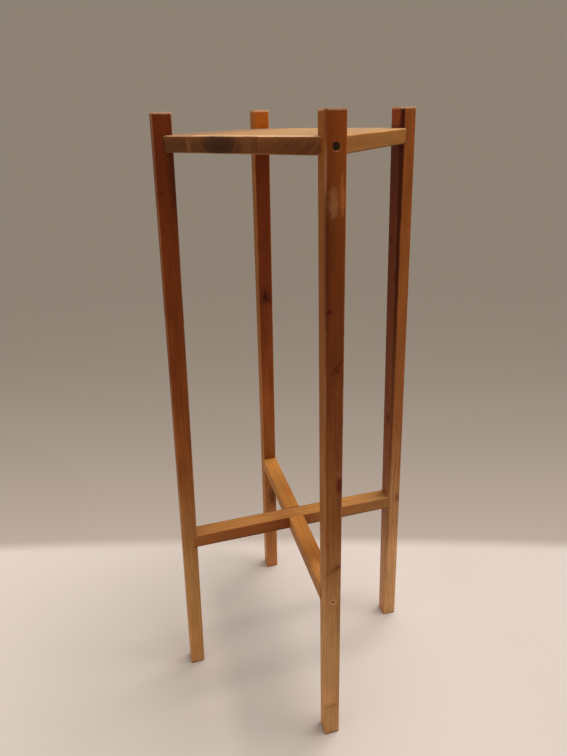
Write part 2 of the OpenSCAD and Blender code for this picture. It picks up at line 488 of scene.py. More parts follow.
# %% Solid wood: heartwood and rubbed arrises
def heartwood(tree, heart, place, height, streak):
    """How much heartwood there is: it lies on one side of a slanting plane with a streaky
    face, and fades out towards the foot."""
    wobble = add(tree, "ShaderNodeMath", {0: streak, 1: 4.0, 2: -2.0}, operation="MULTIPLY_ADD")
    side = add(tree, "ShaderNodeVectorMath", {0: place, 1: heart["towards"]},
               operation="DOT_PRODUCT")
    side_wobbled = add(tree, "ShaderNodeMath", {0: side.outputs["Value"], 1: wobble},
                       operation="ADD")
    inside = add(tree, "ShaderNodeMapRange",
                 {"Value": side_wobbled, "From Min": heart["depth"] - 0.8,
                  "From Max": heart["depth"] + 0.8}, interpolation_type="SMOOTHSTEP")
    fade = add(tree, "ShaderNodeMapRange",
               {"Value": height, "From Min": heart["fades"][0], "From Max": heart["fades"][1],
                "To Max": heart["strength"]})
    return add(tree, "ShaderNodeMath", {0: inside, 1: fade}, operation="MULTIPLY")


def rubbed_arris(tree, shifted, normal, facing):
    """How bare the arrises are rubbed. On them the surface faces along none of the timber's
    axes. Hands and cloths don't reach those underneath."""
    flat_side = add(tree, "ShaderNodeMath", {0: facing[0], 1: facing[1]}, operation="MAXIMUM")
    flat_any = add(tree, "ShaderNodeMath", {0: flat_side, 1: facing[2]}, operation="MAXIMUM")
    arris = add(tree, "ShaderNodeMapRange",
                {"Value": flat_any, "From Min": 0.985, "From Max": 0.92},
                interpolation_type="SMOOTHSTEP")
    rub = noise_over(tree, shifted, (14, 14, 40), 3.0)
    rubbed = add(tree, "ShaderNodeMapRange",
                 {"Value": rub, "From Min": 0.36, "From Max": 0.62, "To Min": 0.15})
    upright = add(tree, "ShaderNodeSeparateXYZ", {0: normal})
    in_reach = add(tree, "ShaderNodeMapRange",
                   {"Value": upright.outputs["Z"], "From Min": -0.35, "From Max": -0.1})
    reached = add(tree, "ShaderNodeMath", {0: rubbed, 1: in_reach}, operation="MULTIPLY")
    return add(tree, "ShaderNodeMath", {0: arris, 1: reached}, operation="MULTIPLY")


# %% Solid wood: the body and its end grain
LATE_WOOD = srgb("#5A2409")
LATE_WOOD_ON_ENDS = srgb("#2E170C")
PORE_BROWN = srgb("#3A1D0E")
PORE_DEPTH = 0.22
END_TINT_SHARE = 0.9


def body_colour(tree, tones, height, variation, late, ring_depth, pores):
    """The tone along the grain, darkened by late wood, streaks and pores."""
    body = tone_along(tree, tones, height, variation)
    ring_shade = add(tree, "ShaderNodeMath", {0: late, 1: ring_depth}, operation="MULTIPLY")
    ringed = add(tree, "ShaderNodeMix",
                 {0: ring_shade, 6: body.outputs["Color"], 7: LATE_WOOD}, data_type="RGBA")
    shade = add(tree, "ShaderNodeMath", {0: variation, 1: -1.0, 2: 1.0},
                operation="MULTIPLY_ADD")
    shaded = add(tree, "ShaderNodeVectorMath", {0: ringed.outputs[2], "Scale": shade},
                 operation="SCALE")
    pore_shade = add(tree, "ShaderNodeMath", {0: pores, 1: PORE_DEPTH}, operation="MULTIPLY")
    return add(tree, "ShaderNodeMix", {0: pore_shade, 6: shaded, 7: PORE_BROWN},
               data_type="RGBA")


def with_end_grain(tree, colour, facing_along, late, end_tint, end_rings):
    """The colour with end grain, which drinks more lacquer and is darker, wherever the
    surface faces along the grain."""
    on_end = add(tree, "ShaderNodeMapRange",
                 {"Value": facing_along, "From Min": 0.7, "From Max": 0.92},
                 interpolation_type="SMOOTHSTEP")
    end_base = add(tree, "ShaderNodeMix",
                   {0: END_TINT_SHARE, 6: colour.outputs[2], 7: srgb(end_tint)},
                   data_type="RGBA")
    end_shade = add(tree, "ShaderNodeMath", {0: late, 1: end_rings}, operation="MULTIPLY")
    end_colour = add(tree, "ShaderNodeMix",
                     {0: end_shade, 6: end_base.outputs[2], 7: LATE_WOOD_ON_ENDS},
                     data_type="RGBA")
    return add(tree, "ShaderNodeMix",
               {0: on_end, 6: colour.outputs[2], 7: end_colour.outputs[2]}, data_type="RGBA")


# %% Solid wood: the whole material
RUBBED_WOOD = srgb("#C08A58")
SATIN_ROUGHNESS = (0.38, 0.52)
RELIEF = 0.1 * MM


def wood(name, frame_of_grain, tones, pith, ring_width=3.2, ring_depth=0.17, variety=0.15,
         face_tone_and_light=None, end_tint="#8A5838", end_rings=0.3, marks=(), heart=None,
         rub_depth=0.35, shine=0.12, seed=0.0):
    """Hardwood under a satin lacquer, which deepens its colours and leaves a soft sheen.

    tones lists distances along the grain, in mm, with the colour there. pith is the middle
    of the growth rings in the timber's section, in mm. face_tone_and_light is the number of an
    axis of the timber, with a colour and its share on the faces that look along that axis. On
    some timbers that colour is the wood's own tone, and on others it is painted light: a
    paler, yellower side face, or a painted sheen on the board's faces. heart says towards
    which side the heartwood lies and how far from the timber's middle it starts, its colour
    and strength, and between which heights it comes in.
    """
    material = bpy.data.materials.new(name)
    tree = empty_tree(material)
    place, shifted, grain = timber_space(tree, frame_of_grain, seed)
    height = add(tree, "ShaderNodeSeparateXYZ", {0: place}).outputs["Z"]
    normal = add(tree, "ShaderNodeTexCoord").outputs["Normal"]
    facing = facings(tree, normal, frame_of_grain.to_quaternion())
    masks, bend = mark_masks(tree, marks, place, shifted)
    late = late_wood(tree, grain, pith, ring_width, bend)

    # Streaks a few millimetres wide and a hand long, and broad clouds of tone
    streak = noise_over(tree, grain, (3.4, 3.4, 120), 3.0, roughness=0.55)
    cloud = noise_over(tree, shifted, (22, 22, 75), 3.0)
    both = add(tree, "ShaderNodeMath", {0: cloud, 1: streak}, operation="ADD")
    variation = add(tree, "ShaderNodeMapRange",
                    {"Value": both, "From Min": 0.7, "From Max": 1.3, "To Min": -variety,
                     "To Max": variety})

    # Pores are 0.1 mm wide on the real wood, and drawn 0.5 mm wide and 9 mm long to show
    pore_noise = noise_over(tree, grain, (0.5, 0.5, 9), 1.0)
    pores = add(tree, "ShaderNodeMapRange",
                {"Value": pore_noise, "From Min": 0.56, "From Max": 0.72})

    colour = body_colour(tree, tones, height, variation, late, ring_depth, pores)
    if heart:
        share = heartwood(tree, heart, place, height, streak)
        colour = add(tree, "ShaderNodeMix",
                     {0: share, 6: colour.outputs[2], 7: srgb(heart["colour"])},
                     data_type="RGBA")
    if face_tone_and_light:
        axis, face_colour, face_share = face_tone_and_light
        faces = add(tree, "ShaderNodeMapRange",
                    {"Value": facing[axis], "From Min": 0.6, "From Max": 0.8,
                     "To Max": face_share}, interpolation_type="SMOOTHSTEP")
        colour = add(tree, "ShaderNodeMix",
                     {0: faces, 6: colour.outputs[2], 7: srgb(face_colour)}, data_type="RGBA")
    rub_share = add(tree, "ShaderNodeMath",
                    {0: rubbed_arris(tree, shifted, normal, facing), 1: rub_depth},
                    operation="MULTIPLY")
    colour = add(tree, "ShaderNodeMix", {0: rub_share, 6: colour.outputs[2], 7: RUBBED_WOOD},
                 data_type="RGBA")
    colour = painted(tree, colour, marks, masks, on_ends=False)
    colour = with_end_grain(tree, colour, facing[2], late, end_tint, end_rings)
    colour = painted(tree, colour, marks, masks, on_ends=True)

    # Under the lacquer, pores are hollow and late wood stands a little proud
    rough = add(tree, "ShaderNodeMapRange",
                {"Value": streak, "From Min": 0.3, "From Max": 0.7,
                 "To Min": SATIN_ROUGHNESS[0], "To Max": SATIN_ROUGHNESS[1]})
    relief = add(tree, "ShaderNodeMath", {0: pores, 1: -1.0, 2: late},
                 operation="MULTIPLY_ADD")
    bump = add(tree, "ShaderNodeBump",
               {"Strength": 0.3, "Distance": RELIEF, "Height": relief})
    lacquered = add(tree, "ShaderNodeBsdfPrincipled",
                    {"Base Color": colour.outputs[2], "Roughness": rough, "Normal": bump,
                     "Specular IOR Level": shine})
    add(tree, "ShaderNodeOutputMaterial", {"Surface": lacquered})
    return material


# %% [markdown]
# ## Timbers
#
# A leg or a stretcher is a planed bar with eased edges. It could be a cube with a Bevel
# modifier, but the real arrises are uneven from sanding and use. So a tree of geometry nodes
# sweeps a filleted section along a line, draws its last few rings in to round the ends, and
# then wears the arrises by a seeded noise.

# %% A new tree of geometry nodes
def geometry_tree(name, inputs):
    """An empty tree of geometry nodes with named inputs, and the sockets that carry them."""
    tree = bpy.data.node_groups.new(name, "GeometryNodeTree")
    for label, kind in inputs.items():
        tree.interface.new_socket(label, in_out="INPUT", socket_type=f"NodeSocket{kind}")
    tree.interface.new_socket("Geometry", in_out="OUTPUT", socket_type="NodeSocketGeometry")
    return tree, add(tree, "NodeGroupInput").outputs


# %% Timber: the rings along its line
END_RINGS = 5
FILLET_STEPS = 5
RING_STEP = 5 * MM


def ring_places(tree, given):
    """How many rings the sweep has, and each one's place on the line and scale."""
    twice_end = add(tree, "ShaderNodeMath", {0: given["End Radius"], 1: 2.0},
                    operation="MULTIPLY")
    straight = add(tree, "ShaderNodeMath", {0: given["Length"], 1: twice_end},
                   operation="SUBTRACT")
    steps = add(tree, "ShaderNodeMath", {0: straight, 1: given["Step"]}, operation="DIVIDE")
    whole_steps = add(tree, "ShaderNodeMath", {0: steps}, operation="CEIL")
    pitch = add(tree, "ShaderNodeMath", {0: straight, 1: whole_steps}, operation="DIVIDE")
    last = add(tree, "ShaderNodeMath", {0: whole_steps, 1: 2 * END_RINGS}, operation="ADD")
    count = add(tree, "ShaderNodeMath", {0: last, 1: 1.0}, operation="ADD")

    # The last rings at each end follow a quarter of a circle, which gives lift and inset
    index = add(tree, "GeometryNodeInputIndex")
    from_top = add(tree, "ShaderNodeMath", {0: last, 1: index}, operation="SUBTRACT")
    nearer = add(tree, "ShaderNodeMath", {0: index, 1: from_top}, operation="MINIMUM")
    quarter = add(tree, "ShaderNodeMapRange",
                  {"Value": nearer, "From Max": float(END_RINGS), "To Max": math.pi / 2})
    cosine = add(tree, "ShaderNodeMath", {0: quarter}, operation="COSINE")
    sine = add(tree, "ShaderNodeMath", {0: quarter}, operation="SINE")
    lift_share = add(tree, "ShaderNodeMath", {0: 1.0, 1: cosine}, operation="SUBTRACT")
    lift = add(tree, "ShaderNodeMath", {0: lift_share, 1: given["End Radius"]},
               operation="MULTIPLY")
    inset_share = add(tree, "ShaderNodeMath", {0: 1.0, 1: sine}, operation="SUBTRACT")
    inset = add(tree, "ShaderNodeMath", {0: inset_share, 1: twice_end}, operation="MULTIPLY")
    inset_part = add(tree, "ShaderNodeMath", {0: inset, 1: given["Width"]},
                     operation="DIVIDE")
    scale = add(tree, "ShaderNodeMath", {0: 1.0, 1: inset_part}, operation="SUBTRACT")

    # The rings between the rounded ends lie one pitch apart
    past_end = add(tree, "ShaderNodeMath", {0: nearer, 1: float(END_RINGS)},
                   operation="SUBTRACT")
    ahead = add(tree, "ShaderNodeMath", {0: past_end, 1: 0.0}, operation="MAXIMUM")
    from_end = add(tree, "ShaderNodeMath", {0: ahead, 1: pitch, 2: lift},
                   operation="MULTIPLY_ADD")
    from_far_end = add(tree, "ShaderNodeMath", {0: given["Length"], 1: from_end},
                       operation="SUBTRACT")
    in_upper_half = add(tree, "ShaderNodeMath", {0: index, 1: from_top},
                        operation="GREATER_THAN")
    height = add(tree, "ShaderNodeMix", {0: in_upper_half, 2: from_end, 3: from_far_end})
    return count, add(tree, "ShaderNodeCombineXYZ", {"Z": height}), scale


# %% Timber: the wear of its arrises
# Patches of wear are about 11 mm wide and 36 mm long
WEAR_PER_METRE = (90.0, 90.0, 28.0)


def wear_offset(tree, given):
    """How a slow noise moves each point inwards, the more the nearer it is to an arris."""
    position = add(tree, "GeometryNodeInputPosition")
    parts = add(tree, "ShaderNodeSeparateXYZ", {0: position})
    off_x = add(tree, "ShaderNodeMath", {0: parts.outputs["X"]}, operation="ABSOLUTE")
    off_y = add(tree, "ShaderNodeMath", {0: parts.outputs["Y"]}, operation="ABSOLUTE")
    share_x = add(tree, "ShaderNodeMath", {0: off_x, 1: given["Width"]}, operation="DIVIDE")
    share_y = add(tree, "ShaderNodeMath", {0: off_y, 1: given["Depth"]}, operation="DIVIDE")
    least = add(tree, "ShaderNodeMath", {0: share_x, 1: share_y}, operation="MINIMUM")
    at_arris = add(tree, "ShaderNodeMapRange",
                   {"Value": least, "From Min": 0.45, "From Max": 0.485},
                   interpolation_type="SMOOTHSTEP")
    stretched = add(tree, "ShaderNodeVectorMath", {0: position, 1: WEAR_PER_METRE},
                    operation="MULTIPLY")
    worn = add(tree, "ShaderNodeTexNoise",
               {"Vector": stretched, "W": given["Seed"], "Scale": 1.0, "Detail": 2.0},
               noise_dimensions="4D")
    worn_share = add(tree, "ShaderNodeMapRange",
                     {"Value": worn, "From Min": 0.35, "From Max": 0.75})
    depth = add(tree, "ShaderNodeMath", {0: worn_share, 1: at_arris}, operation="MULTIPLY")
    inward = add(tree, "ShaderNodeMath", {0: depth, 1: given["Wear"]}, operation="MULTIPLY")
    backwards = add(tree, "ShaderNodeMath", {0: inward, 1: -1.0}, operation="MULTIPLY")
    normal = add(tree, "GeometryNodeInputNormal")
    return add(tree, "ShaderNodeVectorMath", {0: normal, "Scale": backwards},
               operation="SCALE")


# %% Timber tree
def timber_tree():
    """A tree that makes a bar along Z from the origin, with worn arrises and eased ends."""
    inputs = dict.fromkeys(["Length", "Width", "Depth", "Edge Radius", "End Radius", "Step",
                            "Wear", "Seed"], "Float")
    tree, given = geometry_tree("Timber", inputs | {"Material": "Material"})
    count, centre, scale = ring_places(tree, given)
    line = add(tree, "GeometryNodeCurvePrimitiveLine", {"Start": (0, 0, 0), "End": (0, 0, 1)})
    points = add(tree, "GeometryNodeResampleCurve", {"Curve": line, "Count": count},
                 mode="COUNT")
    placed = add(tree, "GeometryNodeSetPosition", {"Geometry": points, "Position": centre})
    scaled = add(tree, "GeometryNodeSetCurveRadius", {"Curve": placed, "Radius": scale})
    section = add(tree, "GeometryNodeCurvePrimitiveQuadrilateral",
                  {"Width": given["Width"], "Height": given["Depth"]})
    eased = add(tree, "GeometryNodeFilletCurve",
                {"Curve": section, "Count": FILLET_STEPS, "Radius": given["Edge Radius"]},
                mode="POLY")
    bar = add(tree, "GeometryNodeCurveToMesh",
              {"Curve": scaled, "Profile Curve": eased, "Fill Caps": True})
    handled = add(tree, "GeometryNodeSetPosition",
                  {"Geometry": bar, "Offset": wear_offset(tree, given)})
    real = add(tree, "GeometryNodeRealizeInstances", {"Geometry": handled})
    finished = add(tree, "GeometryNodeSetMaterial",
                   {"Geometry": real, "Material": given["Material"]})
    add(tree, "NodeGroupOutput", {"Geometry": finished})
    return tree


TIMBER = timber_tree()
print("timber tree:", len(TIMBER.nodes), "nodes")


# %% From a tree to a plain mesh
def evaluated_mesh(holder):
    """What an object's modifiers make of it, as a plain mesh."""
    bpy.context.view_layer.update()
    evaluated = holder.evaluated_get(bpy.context.evaluated_depsgraph_get())
    return bpy.data.meshes.new_from_object(evaluated)


def grown(name, tree, **values):
    """Run a tree of geometry nodes with the given inputs and keep its result as a mesh."""
    holder = in_scene(name + "_tree", bpy.data.meshes.new(name + "_tree"))
    modifier = holder.modifiers.new("grow", "NODES")
    modifier.node_group = tree
    sockets = {item.name: item.identifier for item in tree.interface.items_tree
               if item.in_out == "INPUT"}
    for label, value in values.items():
        modifier[sockets[label.replace("_", " ")]] = value
    mesh = evaluated_mesh(holder)
    holder.modifiers.remove(modifier)
    bpy.data.objects.remove(holder)
    mesh.name = name
    return mesh


def timber(name, length, width, depth, material, seed, wear=0.35 * MM,
           edge_radius=1.5 * MM, end_radius=2.0 * MM):
    """A bar along Z from the origin, width along X and depth along Y."""
    return grown(name, TIMBER, Length=length, Width=width, Depth=depth,
                 Edge_Radius=edge_radius, End_Radius=end_radius, Step=RING_STEP,
                 Wear=wear, Seed=seed, Material=material)


# %% [markdown]
# ## Joints
#
# A housing, a lap or a screw hole is something taken out of the wood, so each is a cutter for
# an exact Boolean. The cutters are made a tenth of a millimetre or so larger than the piece
# they take, which leaves the fine dark line that a real joint has. After the cuts the normals
# are weighted by face area, so that broad planed faces stay flat in the light.


# %% Cutters and cutting
def box_mesh(name, low, high):
    """A box between two corners."""
    shape = bmesh.new()
    bmesh.ops.create_cube(shape, size=1)
    low, high = Vector(low), Vector(high)
    bmesh.ops.scale(shape, vec=high - low, verts=shape.verts)
    bmesh.ops.translate(shape, vec=(low + high) / 2, verts=shape.verts)
    return mesh_of(shape, name)


def turned(name, outline, place, sides=40):
    """A round solid: outline lists radius and depth, and depth runs along -Z of place."""
    shape = bmesh.new()
    rings = []
    for radius, depth in outline:
        angles = [2 * math.pi * i / sides for i in range(sides)]
        rings.append([shape.verts.new((radius * math.cos(a), radius * math.sin(a), -depth))
                      for a in angles])
    for upper, lower in zip(rings, rings[1:]):
        for i in range(sides):
            j = (i + 1) % sides
            shape.faces.new((upper[i], lower[i], lower[j], upper[j]))
    shape.faces.new(rings[0])
    shape.faces.new(reversed(rings[-1]))
    bmesh.ops.recalc_face_normals(shape, faces=shape.faces)
    bmesh.ops.transform(shape, matrix=place, verts=shape.verts)
    return mesh_of(shape, name)


def cut(mesh, cutters):
    """The mesh with every cutter taken out of it."""
    holder = in_scene("uncut", mesh)
    tools = [in_scene("cutter", cutter) for cutter in cutters]
    for tool in tools:
        modifier = holder.modifiers.new("cut", "BOOLEAN")
        modifier.operation = "DIFFERENCE"
        modifier.solver = "EXACT"
        modifier.object = tool
    result = evaluated_mesh(holder)
    for spare in [holder, *tools]:
        bpy.data.objects.remove(spare)
    return result


# %% Finishing a piece
SHARP = math.radians(38)
SAME_POINT = 0.002 * MM


def closed(mesh):
    """Merge a mesh's doubles, close it and turn its faces outwards. Returns how many open
    edges it had and has."""
    shape = bmesh.new()
    shape.from_mesh(mesh)
    bmesh.ops.remove_doubles(shape, verts=shape.verts, dist=SAME_POINT)
    # A Boolean now and then drops a sliver, which leaves a gap with three or four sides
    gaps = [edge for edge in shape.edges if edge.is_boundary]
    bmesh.ops.holes_fill(shape, edges=gaps, sides=4)
    bmesh.ops.recalc_face_normals(shape, faces=shape.faces)
    left_open = sum(edge.is_boundary for edge in shape.edges)
    shape.to_mesh(mesh)
    shape.free()
    return len(gaps), left_open


def finish_piece(name, mesh, slot, *nodes):
    """Shade a mesh by face area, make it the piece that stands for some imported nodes."""
    gaps, left_open = closed(mesh)
    mesh.shade_smooth()
    mesh.set_sharp_from_angle(angle=SHARP)
    holder = in_scene(name + "_raw", mesh)
    weighted = holder.modifiers.new("broad faces rule", "WEIGHTED_NORMAL")
    weighted.keep_sharp = True
    shaded = evaluated_mesh(holder)
    bpy.data.objects.remove(holder)
    shaded.name = name
    piece = in_scene(name, shaded)
    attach(piece, "root")
    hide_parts(*nodes)
    triangles = sum(len(face.vertices) - 2 for face in shaded.polygons)
    print(f"{name}: {triangles} triangles, {gaps} open edges closed, {left_open} left")
    return piece


# %% [markdown]
# ## Screws
#
# Four screws pin the corners of the board, with their heads sunk 2 mm below the face of the
# leg, and four more pin the stretchers, nearly flush. They are zinc-plated steel with a cross
# recess. All eight are the same screw, so one tree of geometry nodes builds it from turned
# parts and a swept thread, and sets copies of it in a ring round the stand.

# %% Sizes of the screws
screw_low, screw_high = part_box("board_screws")
HEAD_DIAMETER = screw_high.z - screw_low.z
BOARD_SCREW_RADIUS = screw_high.x
STRETCHER_SCREW_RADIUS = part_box("stretcher_screws")[1].x
right_screw = [vertex.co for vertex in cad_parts["board_screws"].data.vertices
               if vertex.co.x > abs(vertex.co.y)]
SCREW_LENGTH = BOARD_SCREW_RADIUS - min(point.x for point in right_screw)
SCREW_DIAMETER = 4.5 * MM
HEAD_HEIGHT = (HEAD_DIAMETER - SCREW_DIAMETER) / 2
SHANK_LENGTH = 12 * MM
THREAD_PITCH = 2 * MM
THREAD_DEPTH = 0.7 * MM
RECESS_SPAN = 4.8 * MM
RECESS_ARM = 1.1 * MM
RECESS_DEPTH = 1.7 * MM
print(f"screws {SCREW_LENGTH / MM:.1f} mm long, heads {HEAD_DIAMETER / MM:.1f} mm across")

# %% [markdown]
# ## Plated steel
#
# Zinc plating makes steel a soft, slightly yellow grey, mottled over about a millimetre. A
# plain metal would look brand new. On the stand, dirt and the wood's own lacquer sit on the
# heads, and a screwdriver has rubbed the edges of each cross bright. Painted shade darkens the
# cross recesses, and the heads sunk in the upper holes nearly all over. So every screw carries
# its own place as an attribute, in mm, and the material lays dirt and painted shade by that
# place.

# %% Steel
GRIME_AND_SHADE = srgb("#2E1409")
SOFT_RIM = (-0.3, 0.4)
BRIGHT_BESIDE_CROSS = (0.6, 0.85)
BRIGHT_ROUND_MIDDLE = (2.3, 2.8)
BRIGHT_AT_TOP = (0.1, 0.5)


def zinc_plated_steel(name, light, dark, lacquer, grime_and_shade):
    """Zinc-plated steel, mottled between two tones, with a dull shine.

    lacquer is how much the stand's own lacquer covers the metal, and the last argument is how
    far out from the middle of the head, in mm, dirt and painted shade sit.
    """
    material = bpy.data.materials.new(name)
    tree = empty_tree(material)
    coordinates = add(tree, "ShaderNodeTexCoord")
    mottle = add(tree, "ShaderNodeTexNoise",
                 {"Vector": coordinates.outputs["Object"], "Scale": 0.9 / MM, "Detail": 3.0})
    tone = add(tree, "ShaderNodeMix", {0: mottle, 6: srgb(light), 7: srgb(dark)},
               data_type="RGBA")

    # Dirt and painted shade, out to the given rim. The flat of the head is at zero
    own = add(tree, "ShaderNodeAttribute", attribute_name="place_on_screw")
    across = add(tree, "ShaderNodeVectorMath", {0: own.outputs["Vector"], 1: (1, 1, 0)},
                 operation="MULTIPLY")
    radius = add(tree, "ShaderNodeVectorMath", {0: across}, operation="LENGTH")
    inner = add(tree, "ShaderNodeMapRange",
                {"Value": radius, "From Min": grime_and_shade + SOFT_RIM[1],
                 "From Max": grime_and_shade + SOFT_RIM[0], "To Max": 0.92})

    # The bright edges of the cross
    sides = add(tree, "ShaderNodeVectorMath", {0: own.outputs["Vector"]}, operation="ABSOLUTE")
    parts = add(tree, "ShaderNodeSeparateXYZ", {0: sides})
    from_cross = add(tree, "ShaderNodeMath", {0: parts.outputs["X"], 1: parts.outputs["Y"]},
                     operation="MINIMUM")
    shares = []
    for distance, (full, none) in ((from_cross, BRIGHT_BESIDE_CROSS),
                                   (radius, BRIGHT_ROUND_MIDDLE),
                                   (parts.outputs["Z"], BRIGHT_AT_TOP)):
        shares.append(add(tree, "ShaderNodeMapRange",
                          {"Value": distance, "From Min": none, "From Max": full}))
    near = add(tree, "ShaderNodeMath", {0: shares[0], 1: shares[1]}, operation="MULTIPLY")
    bright = add(tree, "ShaderNodeMath", {0: near, 1: shares[2]}, operation="MULTIPLY")
    kept = add(tree, "ShaderNodeMath", {0: bright, 1: -0.75, 2: 1.0}, operation="MULTIPLY_ADD")
    dirt = add(tree, "ShaderNodeMath", {0: inner, 1: kept}, operation="MULTIPLY")
    grimy_and_shaded = add(tree, "ShaderNodeMix", {0: dirt, 6: tone.outputs[2], 7: GRIME_AND_SHADE},
                data_type="RGBA")

    # Dirt, painted shade and lacquer don't shine as metal does
    metal = add(tree, "ShaderNodeMath", {0: dirt, 1: lacquer - 1, 2: 1 - lacquer},
                operation="MULTIPLY_ADD")
    rough = add(tree, "ShaderNodeMapRange", {"Value": mottle, "To Min": 0.28, "To Max": 0.5})
    steel = add(tree, "ShaderNodeBsdfPrincipled",
                {"Base Color": grimy_and_shaded.outputs[2], "Metallic": metal, "Roughness": rough,
                 "Specular IOR Level": 0.15})
    add(tree, "ShaderNodeOutputMaterial", {"Surface": steel})
    return material


# The upper screws' sunk heads are darkened nearly all over: grime and painted shade
SHADED_DIRTY_STEEL = zinc_plated_steel("zinc-plated steel, dark with grime and painted shade", "#8E6E4C", "#5E462E",
                                0.0, 4.2)
# The lower screws are darkened in their cross recess: painted shade
LACQUERED_STEEL = zinc_plated_steel("zinc-plated steel under lacquer", "#C4935F", "#9A6A3E",
                                    0.65, 2.0)
print("steels:", SHADED_DIRTY_STEEL.name, "and", LACQUERED_STEEL.name)


# %% Screw: turned parts and thread
SCREW_SIDES = 40
STEPS_PER_TURN = 28


def screw_blank(tree, given):
    """A screw without its recess, upright, with the flat of its head at zero."""
    head_radius = add(tree, "ShaderNodeMath", {0: given["Head Diameter"], 1: 0.5},
                      operation="MULTIPLY")
    radius = add(tree, "ShaderNodeMath", {0: given["Diameter"], 1: 0.5}, operation="MULTIPLY")
    core = add(tree, "ShaderNodeMath", {0: radius, 1: given["Thread Depth"]},
               operation="SUBTRACT")
    shank_end = add(tree, "ShaderNodeMath", {0: given["Head Height"], 1: given["Shank"]},
                    operation="ADD")
    # The point is as long as the screw is thick
    core_length = add(tree, "ShaderNodeMath", {0: given["Length"], 1: given["Diameter"]},
                      operation="SUBTRACT")
    threaded = add(tree, "ShaderNodeMath", {0: core_length, 1: shank_end},
                   operation="SUBTRACT")

    def turned_part(top_radius, bottom_radius, length, lower_end):
        """A round part of some length, whose lower end lies that far below the head's flat."""
        cone = add(tree, "GeometryNodeMeshCone",
                   {"Vertices": SCREW_SIDES, "Radius Top": top_radius,
                    "Radius Bottom": bottom_radius, "Depth": length}, fill_type="NGON")
        below = add(tree, "ShaderNodeMath", {0: lower_end, 1: -1.0}, operation="MULTIPLY")
        down = add(tree, "ShaderNodeCombineXYZ", {"Z": below})
        return add(tree, "GeometryNodeTransform", {"Geometry": cone, "Translation": down})

    head = turned_part(head_radius, radius, given["Head Height"], given["Head Height"])
    shank = turned_part(radius, radius, shank_end, shank_end)
    rod = turned_part(core, core, core_length, core_length)
    tip = turned_part(core, 0.0, given["Diameter"], given["Length"])

    # The thread is a three-sided ridge swept along a helix round the core
    turns = add(tree, "ShaderNodeMath", {0: threaded, 1: given["Pitch"]}, operation="DIVIDE")
    helix = add(tree, "GeometryNodeCurveSpiral",
                {"Resolution": STEPS_PER_TURN, "Rotations": turns, "Start Radius": core,
                 "End Radius": core, "Height": threaded})
    upright = add(tree, "GeometryNodeSetCurveNormal", {"Curve": helix}, mode="Z_UP")
    ridge = add(tree, "GeometryNodeCurvePrimitiveCircle",
                {"Resolution": 3, "Radius": given["Thread Depth"]}, mode="RADIUS")
    sweep = add(tree, "GeometryNodeCurveToMesh",
                {"Curve": upright, "Profile Curve": ridge, "Fill Caps": True})
    below = add(tree, "ShaderNodeMath", {0: core_length, 1: -1.0}, operation="MULTIPLY")
    down = add(tree, "ShaderNodeCombineXYZ", {"Z": below})
    thread = add(tree, "GeometryNodeTransform", {"Geometry": sweep, "Translation": down})

    blank = add(tree, "GeometryNodeMeshBoolean", operation="UNION", solver="EXACT")
    for part in (head, shank, rod, tip, thread):
        tree.links.new(part.outputs["Geometry"], blank.inputs["Mesh 2"])
    return blank


# %% Screw: the cross recess
RECESS_TAPER = (0.45, 0.9)


def recess_wedge(tree, given, turn):
    """One of the two wedges of the cross recess, which narrow with depth."""
    twice = add(tree, "ShaderNodeMath", {0: given["Recess Depth"], 1: 2.0},
                operation="MULTIPLY")
    size = add(tree, "ShaderNodeCombineXYZ",
               {"X": given["Recess Span"], "Y": given["Recess Arm"], "Z": twice})
    bar = add(tree, "GeometryNodeMeshCube", {"Size": size})
    lowest = add(tree, "ShaderNodeMath", {0: given["Recess Depth"], 1: -1.0},
                 operation="MULTIPLY")
    position = add(tree, "GeometryNodeInputPosition")
    parts = add(tree, "ShaderNodeSeparateXYZ", {0: position})
    narrow = add(tree, "ShaderNodeMapRange",
                 {"Value": parts.outputs["Z"], "From Min": lowest, "From Max": 0.0,
                  "To Min": RECESS_TAPER[0], "To Max": RECESS_TAPER[1]}, clamp=False)
    tapered = add(tree, "ShaderNodeVectorMath", {0: position, "Scale": narrow},
                  operation="SCALE")
    tapered_parts = add(tree, "ShaderNodeSeparateXYZ", {0: tapered})
    kept_depth = add(tree, "ShaderNodeCombineXYZ",
                     {"X": tapered_parts.outputs["X"], "Y": tapered_parts.outputs["Y"],
                      "Z": parts.outputs["Z"]})
    wedge = add(tree, "GeometryNodeSetPosition", {"Geometry": bar, "Position": kept_depth})
    return add(tree, "GeometryNodeTransform", {"Geometry": wedge, "Rotation": (0, 0, turn)})


